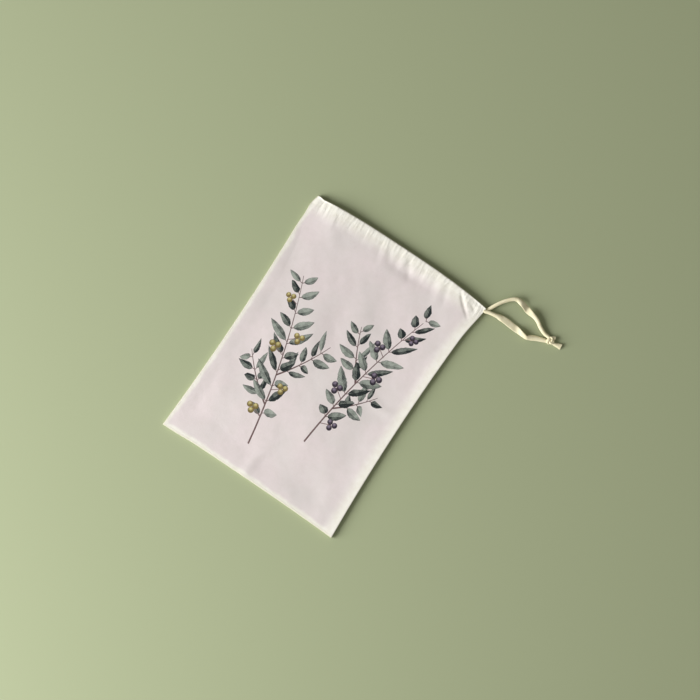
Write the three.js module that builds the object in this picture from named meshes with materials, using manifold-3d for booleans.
// A flat, empty drawstring bag of printed cotton, lying on its back panel.
// Millimetres. +X runs along the mouth towards the corner where the tape leaves, +Y from the closed
// bottom to the mouth, +Z up. The origin is under the middle of the bag, on the surface it lies on.

import * as THREE from 'three';
import Module from 'manifold-3d';
import { mergeVertices } from 'three/addons/utils/BufferGeometryUtils.js';

const wasm = await Module();
wasm.setup();
const { smoothstep, lerp, degToRad } = THREE.MathUtils;

// Driving sizes of the bag
const WIDTH = 305;
const LENGTH = 423;
const CLOTH = 1;
const CLEAR = 0.3;

// The outline isn't straight: each edge drifts by this much between its corners
const MOUTH_FALL = 8;
const BOTTOM_RISE = 4.5;
const LEFT_WAIST = 4.3;
const RIGHT_WAIST = 7.5;
const TIP_PULL = 4;
const TIP_REACH = 26;

// Seam allowances, turned in along both sides and the bottom and pressed flat
const HEM_WIDTH = 12;
const HEM_STEP = 1.5;
const HEM_THICK = 2 * CLOTH + CLEAR;
const SEAM_TOP = 2 * HEM_THICK + CLEAR;
const RIM_DROP = 0.9;
const RIM_WIDTH = 2.5;

// The tape
const TAPE_WIDTH = 9;
const TAPE_THICK = 1;
const EXIT_WIDTH = 5;
const TURN_SQUEEZE = 1;

// The casing: each panel's edge is folded over the tape and sewn down on the stitch line
const TUNNEL = TAPE_THICK + 2 * CLEAR;
const FOLD_RADIUS = (TUNNEL + CLOTH) / 2;
const FOLD_INSET = FOLD_RADIUS + CLOTH / 2;
const STITCH_INSET = 12;
const PINCH_START = STITCH_INSET - 1.1;
const RETURN_END = STITCH_INSET + 1.5;
const MOUTH_GAP = 0.4;
const BACK_AXIS = CLOTH + TUNNEL / 2;
const FRONT_AXIS = BACK_AXIS + 2 * FOLD_RADIUS + CLOTH + MOUTH_GAP;
const CASING_TOP = FRONT_AXIS + FOLD_RADIUS + CLOTH / 2;
const STITCH_TOP = CASING_TOP - 0.8;
const RETURN_PINCH = 0.5;
const RUN_INSET = STITCH_INSET / 2 + 0.1;
const EXIT_INSET = RUN_INSET - 1.5;

// The closed left corner, where the tape turns from the front casing into the back one
const TURN_INSET = 9;
const RETURN_INSET = TURN_INSET + 0.5;
const CORNER_WALL = 6.4;
const CORNER_HEM = 2.5;
const CORNER_TOP = HEM_THICK + CLEAR + CLOTH;

// The front panel's height away from its edges
const BODY_TOP = 2 * CLOTH + CLEAR + 0.5;
const RIDGE_FADE = 14;
const STITCH_FALL = 1.3;
const STITCH_REACH = 4.5;
const CASING_FADE = 66;
const SIDE_FADE = 15;
const SIDE_REACH = 46;
const SLOPE_POWER = 1.7;
const FOLDS_START = 9;
const LOWEST_TOP = 2 * CLOTH + 1.5 * CLEAR;

// Folds of the front panel. Each runs from (x, y) along its heading, in degrees from +X, for its run.
// Wide is half its width. High is positive on a ridge and negative in a trough.
const FOLDS = [
  { name: 'gather 1', x: -46, y: 200, heading: -96, run: 34, wide: 9, high: 0.5 },
  { name: 'gather 2', x: -18, y: 200, heading: -92, run: 52, wide: 8, high: 0.8 },
  { name: 'gather 3', x: 7, y: 200, heading: -99, run: 60, wide: 8, high: 1.0 },
  { name: 'gather 4', x: 31, y: 200, heading: -94, run: 46, wide: 9, high: 0.9 },
  { name: 'gather 5', x: 60, y: 200, heading: -88, run: 56, wide: 10, high: 0.9 },
  { name: 'gather 6', x: 94, y: 198, heading: -78, run: 50, wide: 9, high: 0.8 },
  { name: 'corner crease', x: 114, y: 198, heading: -38, run: 28, wide: 7, high: -1.5 },
  { name: 'corner ridge', x: 124, y: 200, heading: -46, run: 30, wide: 8, high: 0.8 },
  { name: 'left corner', x: -114, y: 196, heading: -60, run: 70, wide: 16, high: 0.6 },
  { name: 'upper swell', x: -72, y: 80, heading: -70, run: 150, wide: 44, high: 0.9 },
  { name: 'middle dip', x: 36, y: 130, heading: -75, run: 130, wide: 32, high: -0.4 },
  { name: 'right fold', x: 82, y: -8, heading: -1, run: 54, wide: 11, high: 1.0 },
  { name: 'lower swell', x: 58, y: -60, heading: -110, run: 110, wide: 36, high: 0.8 },
  { name: 'bottom fold', x: -13, y: -206, heading: 84, run: 62, wide: 12, high: 1.1 },
  { name: 'corner swell', x: 120, y: -196, heading: 100, run: 70, wide: 20, high: 1.2 },
];

// Routes of the two free strands and the tails. Roll turns the tape about its own line, in degrees.
const STRAND_A = [
  { x: 156.0, y: 199.0, z: 1.8, roll: 0, wide: EXIT_WIDTH },
  { x: 159.0, y: 203.6, z: 2.1, roll: -20, wide: EXIT_WIDTH },
  { x: 163.4, y: 213.2, z: 3.4, roll: -50, wide: 6.5 },
  { x: 169.7, y: 225.5, z: 4.6, roll: -62, wide: 8 },
  { x: 179.3, y: 235.4, z: 5.2, roll: -64, wide: 9 },
  { x: 188.6, y: 240.2, z: 5.6, roll: -50, wide: 9 },
  { x: 198.0, y: 238.9, z: 5.2, roll: -12, wide: 9 },
  { x: 209.0, y: 236.6, z: 4.6, roll: 12, wide: 9 },
  { x: 220.5, y: 234.3, z: 4.2, roll: 30, wide: 9 },
  { x: 228.0, y: 231.4, z: 4.2, roll: 52, wide: 8 },
  { x: 235.1, y: 226.4, z: 3.9, roll: 58, wide: 7 },
  { x: 243.4, y: 221.9, z: 3.2, roll: 40, wide: 6 },
  { x: 249.8, y: 220.4, z: 2.9, roll: 18, wide: 5 },
  { x: 256.0, y: 219.3, z: 2.9, roll: 4, wide: 4.0 },
];
const STRAND_B = [
  { x: 155.4, y: 199.0, z: 5.8, roll: 0, wide: EXIT_WIDTH },
  { x: 161.0, y: 200.6, z: 5.6, roll: 18, wide: EXIT_WIDTH },
  { x: 169.5, y: 202.6, z: 4.8, roll: 46, wide: 6.5 },
  { x: 183.5, y: 204.6, z: 3.6, roll: 40, wide: 8.5 },
  { x: 197.1, y: 204.3, z: 1.9, roll: 12, wide: 9 },
  { x: 207.6, y: 203.8, z: 1.9, roll: -12, wide: 9 },
  { x: 216.8, y: 201.2, z: 2.9, roll: -36, wide: 8.5 },
  { x: 226.5, y: 198.6, z: 4.4, roll: -68, wide: 8 },
  { x: 233.6, y: 200.4, z: 4.2, roll: -62, wide: 8 },
  { x: 240.0, y: 206.4, z: 3.1, roll: -34, wide: 7.5 },
  { x: 247.0, y: 210.2, z: 2.2, roll: -14, wide: 6.5 },
  { x: 252.4, y: 211.6, z: 2.2, roll: 0, wide: 5 },
  { x: 256.3, y: 212.4, z: 2.4, roll: 0, wide: 4.4 },
];
const TAIL_A = [
  { x: 260.0, y: 219.4, z: 3.4, roll: 0, wide: 3.6 },
  { x: 263.0, y: 221.6, z: 3.4, roll: 8, wide: 4.6 },
  { x: 266.6, y: 223.2, z: 2.9, roll: 14, wide: 5.0 },
];
const TAIL_B = [
  { x: 264.0, y: 215.4, z: 2.9, roll: 0, wide: 3.6 },
  { x: 269.6, y: 215.6, z: 2.6, roll: -6, wide: 3.2 },
  { x: 274.4, y: 216.6, z: 2.4, roll: -14, wide: 5.8 },
  { x: 279.8, y: 217.2, z: 2.4, roll: -20, wide: 8.4 },
];
const STRAND_STEPS = 46;
const TAIL_STEPS = 8;
const RUN_STEP = 12;

// The knot: an overhand knot drawn tight, lying flat
const KNOT = { x: 260.9, y: 216.4, z: 2.8, radius: 2.85, tube: 1.2, long: 1.15, squash: 0.85, steps: 56, sides: 7 };

// Colours from the photograph
const PRINTED_COTTON = new THREE.MeshStandardMaterial({ color: 0xdfd5ce, roughness: 0.9, metalness: 0 });
const PLAIN_COTTON = new THREE.MeshStandardMaterial({ color: 0xece8da, roughness: 0.9, metalness: 0 });
const TAPE_COTTON = new THREE.MeshStandardMaterial({ color: 0xf0e8c8, roughness: 0.85, metalness: 0 });

// Grid lines across a span: given distances from each end, and even steps between them
function stops(span, near, pitch, far) {
  const first = near[near.length - 1];
  const last = span - far[0];
  const count = Math.round((last - first) / pitch);
  const middle = [];
  for (let i = 1; i < count; i += 1) {
    middle.push(lerp(first, last, i / count));
  }
  return [...near, ...middle, ...far.map((distance) => span - distance)];
}

// A closed sheet: a box with one layer, whose every point is placed by a function of its
// column, row and layer. Layer is 0 on the underside and 1 on top.
function placedBox(columns, rows, place) {
  const geometry = new THREE.BoxGeometry(1, 1, 1, columns, rows, 1);
  geometry.deleteAttribute('normal');
  geometry.deleteAttribute('uv');
  const points = geometry.attributes.position;
  for (let i = 0; i < points.count; i += 1) {
    const column = Math.round((points.getX(i) + 0.5) * columns);
    const row = Math.round((points.getY(i) + 0.5) * rows);
    const layer = points.getZ(i) + 0.5;
    const p = place(column, row, layer);
    points.setXYZ(i, p.x, p.y, p.z);
  }
  return mergeVertices(geometry);
}

// The outline: a flat position (u, v) measured from the left and bottom edges becomes x and y
function outline(u, v) {
  const across = u / WIDTH;
  const along = v / LENGTH;
  const s = 2 * across - 1;
  const q = 2 * along - 1;
  const waist = 1 - q * q;
  const tip = TIP_PULL * smoothstep(v, LENGTH - TIP_REACH, LENGTH);
  const left = LEFT_WAIST * waist;
  const right = tip - RIGHT_WAIST * waist;
  const bottom = BOTTOM_RISE * (1 - across ** 3);
  const mouth = -MOUTH_FALL * Math.abs(s) ** 3;
  return {
    x: u - (WIDTH + TIP_PULL) / 2 + lerp(left, right, across),
    y: v - LENGTH / 2 + lerp(bottom, mouth, along),
  };
}

// One fold's height at a point: a soft ridge across its line, fading out at both ends
function foldHeight(fold, x, y) {
  const angle = degToRad(fold.heading);
  const dx = x - fold.x;
  const dy = y - fold.y;
  const along = (dx * Math.cos(angle) + dy * Math.sin(angle)) / fold.run;
  const aside = (dy * Math.cos(angle) - dx * Math.sin(angle)) / fold.wide;
  const ends = smoothstep(along, -0.25, 0.2) * (1 - smoothstep(along, 0.35, 1.1));
  return fold.high * Math.exp(-2 * aside * aside) * ends;
}

// How far a point lies from the left, right and bottom edges and from the mouth
function edgeDistances(u, v) {
  const left = u;
  const right = WIDTH - u;
  const mouth = LENGTH - v;
  return { left, right, mouth, seam: Math.min(left, right, v) };
}

// Share of the full seam allowance at a point: all of it in the hem, none in the casing
function hemShare({ mouth, seam }) {
  const belowCasing = smoothstep(mouth, STITCH_INSET + 3, STITCH_INSET + FOLDS_START);
  return belowCasing * (1 - smoothstep(seam, HEM_WIDTH, HEM_WIDTH + HEM_STEP));
}

// The front casing slopes down at the closed left corner, to meet the back panel there. This is
// the share of the way down: 1 at the edge itself, 0 from the foot of the slope on.
function cornerShare(left, mouth) {
  const slope = Math.max(0, 1 - left / CORNER_WALL);
  return slope * (1 - smoothstep(mouth, STITCH_INSET, STITCH_INSET + FOLDS_START));
}

// What the casing adds to the panel below it: a quick fall past the folded edge inside, then a
// long slope that is short beside the seams, which hold the panel down
function casingHeight({ left, right, mouth }) {
  const below = Math.max(0, mouth - RETURN_END);
  const reach = lerp(SIDE_FADE, CASING_FADE, smoothstep(Math.min(left, right), 0, SIDE_REACH));
  const slope = Math.max(0, 1 - below / reach) ** SLOPE_POWER;
  const stitchFall = 1 - smoothstep(below, 0, STITCH_REACH);
  return STITCH_FALL * stitchFall + (STITCH_TOP - BODY_TOP - STITCH_FALL) * slope;
}

function foldsHeight(x, y, mouth) {
  const free = smoothstep(mouth, STITCH_INSET, STITCH_INSET + FOLDS_START);
  return free * FOLDS.reduce((sum, fold) => sum + foldHeight(fold, x, y), 0);
}

// Heights of the front panel's upper and lower face
function frontFaces(u, v) {
  const edges = edgeDistances(u, v);
  const { left, mouth, seam } = edges;
  const { x, y } = outline(u, v);
  const ridge = (SEAM_TOP - BODY_TOP) * (1 - smoothstep(seam, HEM_WIDTH, HEM_WIDTH + RIDGE_FADE));
  const raised = Math.max(ridge, casingHeight(edges));
  const body = Math.max(LOWEST_TOP, BODY_TOP + raised + foldsHeight(x, y, mouth));
  const held = lerp(Math.max(body, BODY_TOP + ridge), body, smoothstep(seam, 0, HEM_WIDTH));
  const swell = (CASING_TOP - STITCH_TOP) * (1 - smoothstep(mouth, PINCH_START, STITCH_INSET));
  const hem = hemShare(edges);
  const top = Math.max(lerp(held + swell, CORNER_TOP, cornerShare(left, mouth)), SEAM_TOP * hem);
  const rim = RIM_DROP * hem * Math.max(0, 1 - seam / RIM_WIDTH) ** 2;
  return { top: top - rim, under: top - lerp(CLOTH, HEM_THICK, hem) };
}

// Grid of a panel. Body rows count v up to the start of the casing fold, then the cloth turns
// over by half a circle and comes back under itself to just past the stitch line.
function panelRows(near, pitch, casing) {
  const rows = stops(LENGTH, near, pitch, [...casing, FOLD_INSET]).map((v) => ({ v, turn: 0 }));
  for (const turn of [45, 90, 135]) {
    const inset = FOLD_INSET - FOLD_RADIUS * Math.sin(degToRad(turn));
    rows.push({ v: LENGTH - inset, turn: degToRad(turn) });
  }
  for (const inset of [FOLD_INSET, 5.5, PINCH_START, STITCH_INSET, RETURN_END]) {
    rows.push({ v: LENGTH - inset, turn: Math.PI });
  }
  return rows;
}

// The casing's fold and return leave room for the tape to turn inside the left corner
function turnedIn(u, turn) {
  return lerp(RETURN_INSET * (turn / Math.PI), WIDTH, u / WIDTH);
}

// Middle of the cloth in the fold and the return, as a height over the casing's axis
function turnedHeight(v, turn, pinch) {
  const pinched = smoothstep(LENGTH - v, PINCH_START, RETURN_END) * pinch;
  return turn < Math.PI ? FOLD_RADIUS * Math.cos(turn) : pinched - FOLD_RADIUS;
}

function frontPanel() {
  const nearSide = [0, 1, RIM_WIDTH, CORNER_WALL, RETURN_INSET, HEM_WIDTH, HEM_WIDTH + HEM_STEP, 18];
  const farSide = [18, HEM_WIDTH + HEM_STEP, HEM_WIDTH, 6, RIM_WIDTH, 1, 0];
  const nearBottom = [0, 1, RIM_WIDTH, HEM_WIDTH, HEM_WIDTH + HEM_STEP, 18, 26];
  const underCasing = [72, 54, 42, 33, 26, 20, 16, RETURN_END, STITCH_INSET, PINCH_START, 6];
  const columns = stops(WIDTH, nearSide, 9, farSide);
  const rows = panelRows(nearBottom, 21, underCasing);
  return placedBox(columns.length - 1, rows.length - 1, (column, row, layer) => {
    const { v, turn } = rows[row];
    if (turn === 0) {
      const u = columns[column];
      const { top, under } = frontFaces(u, v);
      return { ...outline(u, v), z: lerp(under, top, layer) };
    }
    const u = turnedIn(columns[column], turn);
    const { x, y } = outline(u, v);
    const drop = (CASING_TOP - CORNER_TOP) * cornerShare(u, LENGTH - v);
    const middle = FRONT_AXIS + turnedHeight(v, turn, RETURN_PINCH) - drop;
    const side = (layer - 0.5) * CLOTH;
    return { x, y: y + side * Math.sin(turn), z: middle + side * Math.cos(turn) };
  });
}

function backPanel() {
  const nearSide = [0, CORNER_HEM, CORNER_HEM + 1, RETURN_INSET, HEM_WIDTH, HEM_WIDTH + HEM_STEP];
  const farSide = [HEM_WIDTH + HEM_STEP, HEM_WIDTH, 0];
  const nearBottom = [0, HEM_WIDTH, HEM_WIDTH + HEM_STEP];
  const underCasing = [STITCH_INSET + 9, STITCH_INSET + 3, STITCH_INSET, PINCH_START];
  const columns = stops(WIDTH, nearSide, 28, farSide);
  const rows = panelRows(nearBottom, 48, underCasing);
  return placedBox(columns.length - 1, rows.length - 1, (column, row, layer) => {
    const { v, turn } = rows[row];
    if (turn === 0) {
      const u = columns[column];
      const edges = edgeDistances(u, v);
      const corner = 1 - smoothstep(edges.left, CORNER_HEM, CORNER_HEM + 1);
      const thick = lerp(CLOTH, HEM_THICK, Math.max(corner, hemShare(edges)));
      return { ...outline(u, v), z: thick * layer };
    }
    const u = turnedIn(columns[column], turn);
    const { x, y } = outline(u, v);
    const middle = BACK_AXIS - turnedHeight(v, turn, FOLD_RADIUS);
    const side = (layer - 0.5) * CLOTH;
    return { x, y: y - side * Math.sin(turn), z: middle + side * Math.cos(turn) };
  });
}

// A flat tape along a list of stations, each with its place, its side and face directions and
// its width. The tape is a little thinner along its woven edges.
function tape(stations) {
  return placedBox(2, stations.length - 1, (column, row, layer) => {
    const station = stations[row];
    const aside = (column - 1) * station.wide / 2;
    const thick = TAPE_THICK * (column === 1 ? 1 : 0.7);
    return station.point.clone()
      .addScaledVector(station.side, aside)
      .addScaledVector(station.face, (layer - 0.5) * thick);
  });
}

// The run inside the casings: in through the front one, round the left corner, out through the back one
function runStations() {
  const turnRadius = (FRONT_AXIS - BACK_AXIS) / 2;
  const turnHeight = (FRONT_AXIS + BACK_AXIS) / 2;
  const exit = WIDTH - 0.5;
  const straight = Math.round((exit - TURN_INSET) / RUN_STEP);
  const line = [];
  for (let i = 0; i <= straight; i += 1) {
    line.push({ u: lerp(exit, TURN_INSET, i / straight), z: FRONT_AXIS, angle: 0 });
  }
  for (let angle = 30; angle < 180; angle += 30) {
    const turned = degToRad(angle);
    const u = TURN_INSET - turnRadius * Math.sin(turned);
    line.push({ u, z: turnHeight + turnRadius * Math.cos(turned), angle: turned });
  }
  for (let i = straight; i >= 0; i -= 1) {
    line.push({ u: lerp(exit, TURN_INSET, i / straight), z: BACK_AXIS, angle: Math.PI });
  }
  return line.map(({ u, z, angle }) => {
    const turning = 1 - smoothstep(u, TURN_INSET, TURN_INSET + RUN_STEP);
    const leaving = smoothstep(u, WIDTH - 24, WIDTH - 3);
    const wide = lerp(TAPE_WIDTH - turning * TURN_SQUEEZE, EXIT_WIDTH, leaving);
    const inset = lerp(RUN_INSET + turning * TURN_SQUEEZE / 2, EXIT_INSET, leaving);
    const { x, y } = outline(u, LENGTH - inset);
    return {
      point: new THREE.Vector3(x, y, z),
      side: new THREE.Vector3(0, 1, 0),
      face: new THREE.Vector3(-Math.sin(angle), 0, Math.cos(angle)),
      wide,
    };
  });
}

// Stations of a free stretch of tape along its route
function routeStations(route, steps) {
  const places = new THREE.CatmullRomCurve3(route.map((p) => new THREE.Vector3(p.x, p.y, p.z)));
  const shapes = new THREE.CatmullRomCurve3(route.map((p) => new THREE.Vector3(p.roll, p.wide, 0)));
  const stations = [];
  for (let i = 0; i <= steps; i += 1) {
    const point = places.getPoint(i / steps);
    const shape = shapes.getPoint(i / steps);
    const ahead = places.getTangent(i / steps);
    const side = new THREE.Vector3(ahead.y, -ahead.x, 0).normalize();
    side.applyAxisAngle(ahead, degToRad(shape.x));
    const face = new THREE.Vector3().crossVectors(side, ahead);
    stations.push({ point, side, face, wide: shape.y });
  }
  return stations;
}

function asSolid(geometry) {
  return new wasm.Manifold(new wasm.Mesh({
    numProp: 3,
    vertProperties: new Float32Array(geometry.attributes.position.array),
    triVerts: new Uint32Array(geometry.index.array),
  }));
}

function asGeometry(solid) {
  const mesh = solid.getMesh();
  const geometry = new THREE.BufferGeometry();
  geometry.setAttribute('position', new THREE.BufferAttribute(mesh.vertProperties, 3));
  geometry.setIndex(new THREE.BufferAttribute(mesh.triVerts, 1));
  return geometry;
}

// The knot with both tails, one piece of tape
function tieKnot() {
  const loops = new THREE.TorusKnotGeometry(KNOT.radius, KNOT.tube, KNOT.steps, KNOT.sides, 2, 3);
  loops.deleteAttribute('normal');
  loops.deleteAttribute('uv');
  loops.scale(1, KNOT.long, KNOT.squash);
  loops.translate(KNOT.x, KNOT.y, KNOT.z);
  const knot = asSolid(mergeVertices(loops));
  const tailA = asSolid(tape(routeStations(TAIL_A, TAIL_STEPS)));
  const tailB = asSolid(tape(routeStations(TAIL_B, TAIL_STEPS)));
  return asGeometry(knot.add(tailA).add(tailB));
}

function addPiece(group, name, geometry, material) {
  const mesh = new THREE.Mesh(geometry, material);
  mesh.name = name;
  group.add(mesh);
}

const bag = new THREE.Group();
addPiece(bag, 'back_panel', backPanel(), PLAIN_COTTON);
addPiece(bag, 'front_panel', frontPanel(), PRINTED_COTTON);
addPiece(bag, 'drawstring_run', tape(runStations()), TAPE_COTTON);
addPiece(bag, 'tie_strand_a', tape(routeStations(STRAND_A, STRAND_STEPS)), TAPE_COTTON);
addPiece(bag, 'tie_strand_b', tape(routeStations(STRAND_B, STRAND_STEPS)), TAPE_COTTON);
addPiece(bag, 'tie_knot', tieKnot(), TAPE_COTTON);

export default bag;
